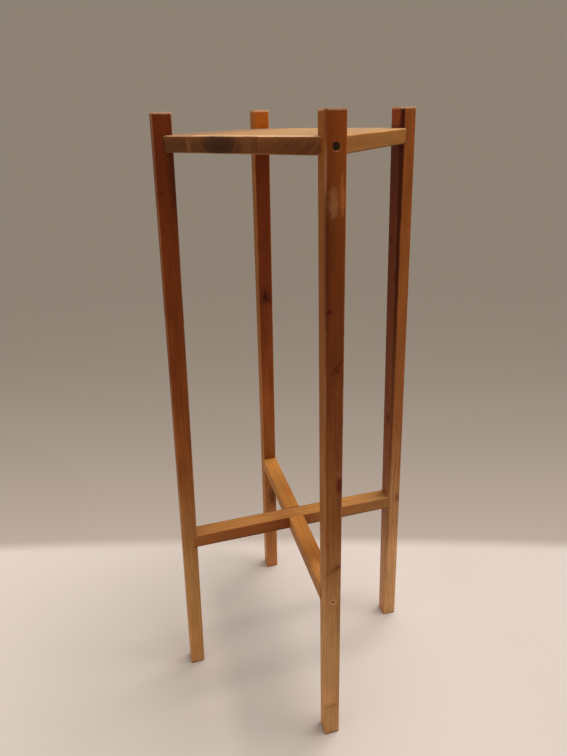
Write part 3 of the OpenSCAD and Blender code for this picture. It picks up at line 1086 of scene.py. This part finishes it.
# %% Screw tree
def screw_tree():
    """A tree that makes four screws in a ring, heads outwards."""
    inputs = dict.fromkeys(["Head Diameter", "Head Height", "Diameter", "Length", "Shank",
                            "Pitch", "Thread Depth", "Recess Span", "Recess Arm",
                            "Recess Depth", "Ring Radius", "Ring Height"], "Float")
    tree, given = geometry_tree("Ring of screws",
                                inputs | {"Seed": "Int", "Material": "Material"})
    blank = screw_blank(tree, given)
    screw = add(tree, "GeometryNodeMeshBoolean", {"Mesh 1": blank.outputs["Mesh"]},
                operation="DIFFERENCE", solver="EXACT")
    for turn in (0.0, math.pi / 2):
        wedge = recess_wedge(tree, given, turn)
        tree.links.new(wedge.outputs["Geometry"], screw.inputs["Mesh 2"])

    own_place = add(tree, "GeometryNodeInputPosition")
    in_mm = add(tree, "ShaderNodeVectorMath", {0: own_place, "Scale": 1 / MM},
                operation="SCALE")
    marked = add(tree, "GeometryNodeStoreNamedAttribute",
                 {"Geometry": screw.outputs["Mesh"], "Name": "place_on_screw",
                  "Value": in_mm}, data_type="FLOAT_VECTOR", domain="POINT")

    # Four places in a ring, with each head facing outwards and its cross turned at random
    ring = add(tree, "GeometryNodeMeshCircle",
               {"Vertices": 4, "Radius": given["Ring Radius"]}, fill_type="NONE")
    outwards = add(tree, "GeometryNodeInputPosition")
    facing = add(tree, "FunctionNodeAlignRotationToVector", {"Vector": outwards}, axis="Z")
    spin = add(tree, "FunctionNodeRandomValue",
               {"Min": 0.0, "Max": math.pi / 2, "Seed": given["Seed"]})
    spin_turn = add(tree, "ShaderNodeCombineXYZ", {"Z": spin.outputs[1]})
    spin_rotation = add(tree, "FunctionNodeEulerToRotation", {"Euler": spin_turn})
    turned_in = add(tree, "FunctionNodeRotateRotation",
                    {"Rotation": facing, "Rotate By": spin_rotation}, rotation_space="LOCAL")
    set_of_four = add(tree, "GeometryNodeInstanceOnPoints",
                      {"Points": ring, "Instance": marked, "Rotation": turned_in})
    real = add(tree, "GeometryNodeRealizeInstances", {"Geometry": set_of_four})
    lift = add(tree, "ShaderNodeCombineXYZ", {"Z": given["Ring Height"]})
    raised = add(tree, "GeometryNodeTransform", {"Geometry": real, "Translation": lift})
    plated = add(tree, "GeometryNodeSetMaterial",
                 {"Geometry": raised, "Material": given["Material"]})
    add(tree, "NodeGroupOutput", {"Geometry": plated})
    return tree


RING_OF_SCREWS = screw_tree()
print("screw tree:", len(RING_OF_SCREWS.nodes), "nodes")


# %% The eight screws
def screws(name, ring_radius, ring_height, seed, material, node):
    """Four screws in a ring round the stand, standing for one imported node."""
    mesh = grown(name, RING_OF_SCREWS, Head_Diameter=HEAD_DIAMETER, Head_Height=HEAD_HEIGHT,
                 Diameter=SCREW_DIAMETER, Length=SCREW_LENGTH, Shank=SHANK_LENGTH,
                 Pitch=THREAD_PITCH, Thread_Depth=THREAD_DEPTH, Recess_Span=RECESS_SPAN,
                 Recess_Arm=RECESS_ARM, Recess_Depth=RECESS_DEPTH, Ring_Radius=ring_radius,
                 Ring_Height=ring_height, Seed=seed, Material=material)
    return finish_piece(name, mesh, "screw_steel", node)


screws("corner_screws", BOARD_SCREW_RADIUS, BOARD_MIDDLE, 3, SHADED_DIRTY_STEEL, "board_screws")
screws("stretcher_end_screws", STRETCHER_SCREW_RADIUS, STRETCHER_MIDDLE, 8, LACQUERED_STEEL,
       "stretcher_screws")

# %% [markdown]
# ## Legs
#
# Each leg is one bar, and tilting it would tilt its ends too. It is sheared instead, so that
# its top and foot stay level, as they were sawn. It has two housings across its inner face,
# and two screw holes from its outer face. The upper hole is a deep counterbore with a broken
# lip. All four legs are cut as the one on the right and then turned into place, and each has
# a wood of its own, with its knots, stains and scuffs where the real leg has them. Some marks
# are painted shade and painted highlights, and the tones run paler towards the foot, partly
# as painted light from the floor.

# %% Screw holes
HOLE_PLAY = 0.1 * MM
PAST_FACE = 3 * MM


def about_z(degrees):
    """A turn round the stand's upright axis."""
    return Matrix.Rotation(math.radians(degrees), 4, "Z")


def hole_outline(sink, lip):
    """Outline of a hole for a screw sunk below the face, whose mouth is broken by lip."""
    head = HEAD_DIAMETER / 2 + HOLE_PLAY
    shank = SCREW_DIAMETER / 2 + HOLE_PLAY
    return [(head + lip + PAST_FACE, -sink - PAST_FACE), (head, -sink + lip), (head, 0),
            (shank, HEAD_HEIGHT), (shank, SCREW_LENGTH + HOLE_PLAY)]


def screw_hole(radius, height, degrees=0, sink=0.0, lip=0.0):
    """A cutter for the hole of a screw that lies at an angle from +X, head outwards."""
    place = Matrix.Translation((radius, 0, height)) @ Matrix.Rotation(math.pi / 2, 4, "Y")
    return turned("hole", hole_outline(sink, lip), about_z(degrees) @ place)


def leg_face(height):
    """How far a leg's outer face lies from the middle of the stand."""
    return FOOT_RADIUS + LEG_LEVEL_WIDTH / 2 - height * math.tan(LEAN)


BOARD_SCREW_SINK = leg_face(BOARD_MIDDLE) - BOARD_SCREW_RADIUS
STRETCHER_SCREW_SINK = leg_face(STRETCHER_MIDDLE) - STRETCHER_SCREW_RADIUS
print(f"heads sunk {BOARD_SCREW_SINK / MM:.1f} mm and {STRETCHER_SCREW_SINK / MM:.1f} mm")

# %% One leg
JOINT_LINE = 0.15 * MM
LEG_EDGE_RADIUS = 2.2 * MM
LEG_END_RADIUS = 2.4 * MM
UPPER_HOLE_LIP = 0.5 * MM
LOWER_HOLE_LIP = 0.25 * MM
LEAN_SHEAR = Matrix(((1, 0, -math.tan(LEAN), FOOT_RADIUS), (0, 1, 0, 0), (0, 0, 1, 0),
                     (0, 0, 0, 1)))


def leg(name, node, degrees, material, seed, gap_below=0.0):
    """The leg that stands at an angle from +X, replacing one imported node. gap_below is how
    far its lower housing stands open under the stretcher."""
    mesh = timber(name, STAND_HEIGHT, LEG_LEVEL_WIDTH, LEG_WIDTH, material, seed,
                  edge_radius=LEG_EDGE_RADIUS, end_radius=LEG_END_RADIUS)
    mesh.transform(LEAN_SHEAR)
    mesh = cut(mesh, [
        box_mesh("board housing", (0, -LEG_WIDTH, BOARD_BOTTOM - JOINT_LINE),
                 (BOARD_END + JOINT_LINE, LEG_WIDTH, BOARD_TOP + JOINT_LINE)),
        box_mesh("stretcher housing",
                 (0, -LEG_WIDTH, STRETCHER_BOTTOM - JOINT_LINE - gap_below),
                 (STRETCHER_END + JOINT_LINE, LEG_WIDTH, STRETCHER_TOP + JOINT_LINE)),
        screw_hole(BOARD_SCREW_RADIUS, BOARD_MIDDLE, sink=BOARD_SCREW_SINK,
                   lip=UPPER_HOLE_LIP),
        screw_hole(STRETCHER_SCREW_RADIUS, STRETCHER_MIDDLE, sink=STRETCHER_SCREW_SINK,
                   lip=LOWER_HOLE_LIP),
    ])
    mesh.transform(about_z(degrees))
    return finish_piece(name, mesh, "leg_wood", node)


# %% Marks that all legs have
FRONT, RIGHT, BACK, LEFT = -90, 0, 90, 180
FACE = LEG_WIDTH / 2 / MM


def leg_grain(degrees):
    """The grain frame of a leg: X outwards, Z up along the lean, from the foot."""
    turn = about_z(degrees)
    along = turn @ Vector((-math.sin(LEAN), 0, math.cos(LEAN)))
    return grain_frame(turn @ Vector((FOOT_RADIUS, 0, 0)), turn @ Vector((1, 0, 0)), along)


# Chipped lacquer round both screws, painted shade in the upper hole and along the foot, and a
# pale top, partly rubbed and partly a painted highlight
leg_marks = [
    mark((13, 0, BOARD_MIDDLE / MM), (2, 5.2, 5.2), "#B07C54", 0.35, soft=0.12, ragged=1.2),
    mark((13, 0, STRETCHER_MIDDLE / MM), (2, 5.3, 5.3), "#D8AC7C", 0.8, soft=0.12, ragged=0.6),
    # Painted shade in the upper hole
    mark((9.5, 0, BOARD_MIDDLE / MM), (6, 5.0, 5.0), "#220C05", 0.94, soft=0.06, ragged=0.3),
    # The pale top: partly rubbed, and partly a painted highlight
    mark((0, 0, STAND_HEIGHT / MM + 1.5), (30, 30, 3.3), "#E8C09E", 0.8, soft=0.35, ragged=0.7,
         on_ends=False),
    # Painted shade along the foot
    mark((0, 0, -1.5), (30, 30, 4.6), "#5A2E17", 0.65, soft=0.4, ragged=0.8),
]

# %% Wood of the front leg
# The legs' tones run paler and more golden towards the foot: partly the wood's own tone, and
# partly painted light from the floor
front_wood = wood(
    "lacquered hardwood, front leg", leg_grain(FRONT),
    [(40, "#C38D59"), (220, "#B78651"), (420, "#8C5322"), (650, "#723610"), (860, "#76390F"),
     (945, "#8A4311")],
    # The side faces are tinted paler and yellower: painted light, as from the lamp on the left
    pith=(-30, 70), face_tone_and_light=(1, "#CC8B2B", 0.2), seed=1.0,
    marks=[
        *leg_marks,
        # Near the board, the front face runs darker on its left and paler on its right
        mark((FACE, -9, 850), (5, 11, 130), "#541F04", 0.3, soft=0.9),
        mark((FACE, 9, 895), (5, 9, 70), "#9C5016", 0.35, soft=0.9),
        # Painted shade: a dark stripe on the front face beside its left arris
        mark((12.2, -10.8, 790), (3.2, 3.4, 96), "#431602", 0.5, soft=0.6, ragged=0.8),
        *knot((FACE, -8, 745), 2.4, strength=0.5),
        mark((FACE, -7.5, 745), (4, 4.6, 3.0), strength=0.6, soft=0.5),
        mark((FACE, 2.5, 673), (5, 1.9, 10), turn=(-35, 0, 0), strength=0.65, soft=0.7),
        *knot((FACE, 4, 668), 2.6, strength=0.6),
        mark((FACE, 8, 502), (6, 6.5, 19), "#7A3216", 0.4, soft=0.6),
        mark((FACE, 8, 500), (6, 4.4, 12), "#5C1A00", 0.8, soft=0.45, ragged=0.6),
        mark((FACE, 8, 519), (6, 5, 5), "#96604A", 0.35, soft=0.6, ragged=2.2),
        mark((FACE, 4, 358), (5, 11, 3.6), "#5A2404", 0.5, turn=(29, 0, 0), soft=0.8),
        *knot((FACE, 7, 361), 3.0, strength=0.4),
        mark((FACE, 0, 68), (5, 12, 5), "#6B3A16", 0.35, soft=0.7),
        mark((FACE, -3, 58), (5, 9, 15), "#8A5A28", 0.25, soft=0.8),
        # A painted highlight: a pale streak on the front face below the board
        mark((FACE, -3, 866), (4, 5, 14), "#B9855A", 0.35, soft=0.7, ragged=1.8),
        mark((FACE, 7.5, 873), (4, 2.4, 18), "#BE7438", 0.5, soft=0.6, ragged=1.4),
        # A painted highlight along the left arris, at the board
        mark((11.6, -12.4, 906), (2.4, 2.4, 30), "#B88660", 0.35, soft=0.5, ragged=0.7),
        mark((12, -12, 944), (2.4, 2.4, 22), "#7A3C12", 0.6, soft=0.4),
        # Painted shade on the left face, round the board's height
        mark((0, -14, 930), (11, 4, 40), "#6E3A12", 0.25, soft=0.4),
    ])

# %% Wood of the other legs
right_wood = wood(
    "lacquered hardwood, right leg", leg_grain(RIGHT),
    [(40, "#CE9A65"), (130, "#D6A16A"), (220, "#C18C58"), (450, "#985B2C"), (650, "#9A5926"),
     (945, "#94501F")],
    pith=(60, 90), face_tone_and_light=(0, "#9C4919", 0.3), rub_depth=0.1, seed=2.0,
    heart={"towards": (-1, 0, 0.0045), "depth": 8.6, "strength": 0.96, "fades": (0, 700),
           "colour": "#3F1302"},
    marks=[
        *leg_marks,
        mark((-FACE, 0, 950), (4, 16, 15), "#A84E20", 0.4, soft=0.3),
        mark((-FACE, 2.5, 781), (4, 9, 5), turn=(30, 0, 0), strength=0.6),
        mark((-FACE, -5, 475), (4, 5, 11), strength=0.75),
        mark((9, -FACE, 303), (7, 4.5, 9), "#5E3214", 0.55, soft=0.8),
    ])
back_wood = wood(
    "lacquered hardwood, back leg", leg_grain(BACK),
    [(40, "#BF7C48"), (130, "#AD6936"), (220, "#A46535"), (450, "#954C1D"), (650, "#77320C"),
     (905, "#78330C"), (940, "#B4621A")],
    # The side faces are tinted paler and yellower: painted light, as from the lamp on the left
    pith=(40, -80), face_tone_and_light=(1, "#CE9032", 0.25), seed=3.0,
    marks=[
        *leg_marks,
        mark((-FACE, 0.4, 661), (6, 11, 15), "#4A1E0A", 0.6, soft=0.7, bend=3.0),
        mark((-FACE, 0.4, 661), (5, 4.0, 5.2), strength=0.9, ragged=1.4),
        mark((-FACE, 1.4, 664), (4, 1.8, 12), turn=(8, 0, 0), strength=0.85, ragged=1.4),
        mark((-FACE, -2, 657), (4, 9, 2.4), turn=(38, 0, 0), strength=0.85, ragged=1.4),
        mark((-FACE, -3.8, 205), (5, 8, 26), "#421600", 0.72, soft=0.6, ragged=2.2),
        mark((-10, 12, 128), (30, 10, 26), "#82401A", 0.5, soft=0.7),
        mark((0, 13, 942), (14, 4, 24), "#74400F", 0.35, soft=0.5),
    ])
left_wood = wood(
    "lacquered hardwood, left leg", leg_grain(LEFT),
    [(40, "#C28950"), (220, "#B6834B"), (450, "#8F4F1E"), (650, "#7E3A0D"), (945, "#6C2B08")],
    pith=(-70, 50), seed=4.0,
    marks=[
        *leg_marks,
        *knot((7, FACE, 866), 2.6, strength=0.35),
        # Painted shade under the board, by the leg's inner arris
        mark((-11, FACE, 882), (6, 5, 40), "#3A1802", 0.5, soft=0.7),
    ])

# %% The four legs
leg("front_leg", "leg_front", FRONT, front_wood, 1.3)
leg("right_leg", "leg_right", RIGHT, right_wood, 2.7)
leg("back_leg", "leg_back", BACK, back_wood, 3.1)
leg("left_leg", "leg_left", LEFT, left_wood, 4.9, gap_below=1.4 * MM)

# %% [markdown]
# ## Stretchers
#
# Two bars cross at half their height. The one from left to right keeps its upper half, and the
# one from front to back passes under it. If each bar were cut by the other, no gap at all
# would be left. So each lap is cut by a box that is a hair wider than the bar it takes, and
# two fine seams show beside the crossing.

# %% Stretchers
SEAM = 0.1 * MM
STRETCHER_END_RADIUS = 0.6 * MM
# From a bar that stands on the origin to one that lies along X, centred on the stand
STRETCHER_BAR = Matrix.Translation((-STRETCHER_END, 0, STRETCHER_MIDDLE)) @ Matrix(
    ((0, 0, 1, 0), (0, -1, 0, 0), (1, 0, 0, 0), (0, 0, 0, 1)))


def stretcher(name, node, degrees, lap_side, material, seed):
    """A stretcher, cut away above (1) or below (-1) its middle where it crosses the other."""
    mesh = timber(name, 2 * STRETCHER_END, STRETCHER_HEIGHT, STRETCHER_WIDTH, material, seed,
                  end_radius=STRETCHER_END_RADIUS)
    mesh.transform(STRETCHER_BAR)
    side = STRETCHER_WIDTH / 2 + SEAM
    past_bar = STRETCHER_MIDDLE + lap_side * STRETCHER_HEIGHT
    lap = box_mesh("lap", (-side, -2 * side, min(STRETCHER_MIDDLE, past_bar)),
                   (side, 2 * side, max(STRETCHER_MIDDLE, past_bar)))
    holes = [screw_hole(STRETCHER_SCREW_RADIUS, STRETCHER_MIDDLE, end) for end in (0, 180)]
    mesh = cut(mesh, [lap, *holes])
    mesh.transform(about_z(degrees))
    return finish_piece(name, mesh, "stretcher_wood", node)


def stretcher_grain(degrees):
    """The grain frame of a stretcher: X up, Z along it, from its middle."""
    along = about_z(degrees) @ Vector((1, 0, 0))
    return grain_frame(Vector((0, 0, STRETCHER_MIDDLE)), UP, along)


# %% Wood of the stretchers
# Half the width and half the height of a stretcher, in mm
SIDE = STRETCHER_WIDTH / 2 / MM
RISE = STRETCHER_HEIGHT / 2 / MM

left_right_wood = wood(
    "lacquered hardwood, left to right stretcher", stretcher_grain(0),
    [(-180, "#AC743E"), (-140, "#B87E42"), (-60, "#B47A40"), (-20, "#A06834"), (40, "#A87338"),
     (110, "#A4713C"), (180, "#A27340")],
    pith=(-60, 25), face_tone_and_light=(1, "#8A3A10", 0.2), seed=5.0,
    marks=[
        mark((0, SIDE + 2, -75), (60, 3.2, 135), "#7F3602", 0.6, soft=0.3, ragged=0.5),
        mark((0, SIDE + 2, -22), (60, 3.2, 34), "#6A2408", 0.35, soft=0.8),
        mark((-RISE, SIDE, 0), (4, 3, 220), "#3A1206", 0.5, soft=0.4, ragged=0.6),
        mark((RISE, -SIDE, -60), (2.6, 2.6, 150), "#5A3A18", 0.45, soft=0.5, ragged=0.8),
    ])
front_back_wood = wood(
    "lacquered hardwood, front to back stretcher", stretcher_grain(90),
    [(-180, "#AA7236"), (-150, "#AE7238"), (-125, "#8E5624"), (-100, "#925A26"),
     (-60, "#AC6E30"), (-20, "#AC6E30"), (80, "#A06A30"), (120, "#AA7034"), (180, "#B47A3C")],
    # The side faces are tinted golden: painted light, as from the lamp on the left
    pith=(-50, -45), face_tone_and_light=(1, "#D48A10", 0.3), seed=6.0,
    marks=[
        mark((RISE, 6, 60), (3, 5, 16), "#A8541E", 0.4, soft=0.6, ragged=1.6),
        mark((0, -SIDE - 2, -110), (60, 3.2, 110), "#8A5626", 0.5, soft=0.6),
    ])

# %% The two stretchers
stretcher("left_right_stretcher", "stretcher_left_right", 0, -1, left_right_wood, 5.5)
stretcher("front_back_stretcher", "stretcher_front_back", 90, 1, front_back_wood, 6.5)

# %% [markdown]
# ## The board
#
# The board is a square with its corners sawn off to enter the legs, glued up from three
# staves. Three boxes with eased edges would show a groove at each glue line, but the real
# board was planed flat after it was glued. So it is made whole first, its edges eased and
# worn all round, and then sliced at the glue lines. Each slice has its edges broken by a
# fifth of a millimetre, which draws the fine line of the joint on top and on the end grain.

# %% The whole board
BOARD_EDGE_RADIUS = 2 * MM
CORNER_RADIUS = 1 * MM
SLICE = 8 * MM
LEVEL_WITHIN = 0.01 * MM


def board_blank():
    """The board in one piece, with every edge eased, sliced finely enough to be worn."""
    flat = LEG_WIDTH / 2
    outline = []
    for quarter in range(4):
        turn = about_z(quarter * 90)
        outline += [turn @ Vector((BOARD_END, -flat, 0)), turn @ Vector((BOARD_END, flat, 0))]
    shape = bmesh.new()
    bottom = [shape.verts.new(p + UP * BOARD_BOTTOM) for p in outline]
    top = [shape.verts.new(p + UP * BOARD_TOP) for p in outline]
    shape.faces.new(reversed(bottom))
    shape.faces.new(top)
    for i in range(len(outline)):
        j = (i + 1) % len(outline)
        shape.faces.new((bottom[i], bottom[j], top[j], top[i]))
    upright = [e for e in shape.edges
               if abs(e.verts[0].co.z - e.verts[1].co.z) > BOARD_THICKNESS / 2]
    bmesh.ops.bevel(shape, geom=upright, offset=CORNER_RADIUS, offset_type="OFFSET",
                    segments=3, profile=0.5, affect="EDGES")
    rims = [e for e in shape.edges
            if abs(e.verts[0].co.z - e.verts[1].co.z) < LEVEL_WITHIN]
    bmesh.ops.bevel(shape, geom=rims, offset=BOARD_EDGE_RADIUS, offset_type="OFFSET",
                    segments=5, profile=0.5, affect="EDGES", clamp_overlap=True)
    slices = int(BOARD_END / SLICE)
    for direction in (ALONG_BOARD, ACROSS_BOARD):
        for step in range(1 - slices, slices):
            everything = [*shape.verts, *shape.edges, *shape.faces]
            bmesh.ops.bisect_plane(shape, geom=everything, plane_co=direction * step * SLICE,
                                   plane_no=direction)
    return shape


blank = board_blank()
print("board blank:", len(blank.faces), "faces")

# %% Wear on the board's arrises
BOARD_WEAR = 0.4 * MM
BOARD_WEAR_PER_METRE = 45
WEAR_START = Vector((3, 7, 11))
LEAST_SLANT = 0.2


def wear_board(shape):
    """Rub the arrises unevenly, by a noise that is the same in every run."""
    shape.normal_update()
    for vertex in shape.verts:
        # 1 where the surface slants by 45 degrees, and 0 where it is level or upright
        slant = abs(vertex.normal.z) * math.sqrt(max(0, 1 - vertex.normal.z ** 2)) * 2
        if slant > LEAST_SLANT:
            rub = 0.5 + noise.noise(vertex.co * BOARD_WEAR_PER_METRE + WEAR_START)
            vertex.co -= vertex.normal * BOARD_WEAR * slant * max(0, min(1, rub))


wear_board(blank)
print("board worn, with", len(blank.verts), "points")

# %% Staves
GLUE_LINE = 0.2 * MM


def stave(name, node, material):
    """One slice of the board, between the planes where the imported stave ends."""
    low, high = spread(node, ACROSS_BOARD)
    shape = blank.copy()
    for distance, outwards in ((low, -ACROSS_BOARD), (high, ACROSS_BOARD)):
        if abs(abs(distance) - HALF_BOARD) < MM:
            continue
        everything = [*shape.verts, *shape.edges, *shape.faces]
        bmesh.ops.bisect_plane(shape, geom=everything, plane_co=ACROSS_BOARD * distance,
                               plane_no=outwards, clear_outer=True)
        rim = [edge for edge in shape.edges if edge.is_boundary]
        bmesh.ops.holes_fill(shape, edges=rim)
        bmesh.ops.bevel(shape, geom=rim, offset=GLUE_LINE, offset_type="OFFSET", segments=2,
                        profile=0.5, affect="EDGES", clamp_overlap=True)
    mesh = mesh_of(shape, name)
    mesh.materials.append(material)
    holes = []
    for degrees in (FRONT, RIGHT, BACK, LEFT):
        corner = about_z(degrees) @ Vector((BOARD_END, 0, 0))
        if low < corner.dot(ACROSS_BOARD) < high:
            holes.append(screw_hole(BOARD_SCREW_RADIUS, BOARD_MIDDLE, degrees))
    return finish_piece(name, cut(mesh, holes), "board_wood", node)


# %% Marks that all staves have
# Half the board's side and half its thickness, in mm. The ends in sight are at -HALF
HALF = HALF_BOARD / MM
THICK = BOARD_THICKNESS / 2 / MM
board_grain = grain_frame(Vector((0, 0, BOARD_MIDDLE)), UP, ALONG_BOARD)


def painted_end_light(strength):
    """Painted light: the board's sawn ends are painted paler towards their upper edge."""
    return mark((THICK + 0.7, 0, -HALF), (6, 170, 3), "#A8703E", strength, soft=0.9,
                ragged=0.5)


def painted_arris_highlight(strength):
    """A painted highlight along the arris above the board's sawn ends."""
    return mark((THICK + 0.6, 0, 0.8 - HALF), (1.7, 170, 2.6), "#F0D2AC", strength,
                soft=0.5, ragged=0.6)


# %% Wood of the staves
# The staves' top and underside are tinted grey: a painted sheen, as of the grey backdrop
# reflected at a grazing angle
front_stave_wood = wood(
    "lacquered hardwood, front stave", board_grain, [(-HALF, "#9A6430"), (HALF, "#9E6A30")],
    pith=(70, 10), ring_width=12, ring_depth=0.15, face_tone_and_light=(0, "#82745D", 0.5),
    end_tint="#6C3B16", end_rings=0.25, shine=0.1, seed=7.0,
    marks=[painted_end_light(0.3), painted_arris_highlight(0.5),
           mark((0, 72, -HALF), (14, 24, 2), "#2C160A", 0.2, soft=0.8)])
middle_stave_wood = wood(
    "lacquered hardwood, middle stave", board_grain, [(-HALF, "#A06C2E"), (HALF, "#A06E34")],
    pith=(14, -26), ring_width=10, ring_depth=0.15, face_tone_and_light=(0, "#8D7C63", 0.5),
    end_tint="#5F3012", end_rings=0.35, shine=0.1, seed=8.0,
    marks=[painted_end_light(0.2), mark((9, -60, -70), (6, 66, 130), "#7E5128", 0.3, soft=0.9),
           painted_arris_highlight(0.35), mark((2, -24, -HALF), (16, 22, 1.6), "#1C0B05", 0.62, soft=0.6),
           mark((0, 15, -HALF), (16, 8, 2), "#8A5634", 0.3, soft=0.8),
           mark((0, 28, -HALF), (16, 2.5, 2), "#5A1E12", 0.4, soft=0.8)])
back_stave_wood = wood(
    "lacquered hardwood, back stave", board_grain, [(-HALF, "#845630"), (HALF, "#8C5E38")],
    pith=(-45, -130), ring_width=14, ring_depth=0.15, face_tone_and_light=(0, "#736351", 0.5),
    end_tint="#5A320F", end_rings=0.25, shine=0.1, seed=9.0,
    marks=[painted_end_light(0.15), painted_arris_highlight(0.15),
           mark((0, -69, -HALF), (16, 3, 2), "#8A5A34", 0.5, soft=0.8)])

# %% The three staves
stave("front_stave", "board_front_stave", front_stave_wood)
stave("middle_stave", "board_middle_stave", middle_stave_wood)
stave("back_stave", "board_back_stave", back_stave_wood)
blank.free()
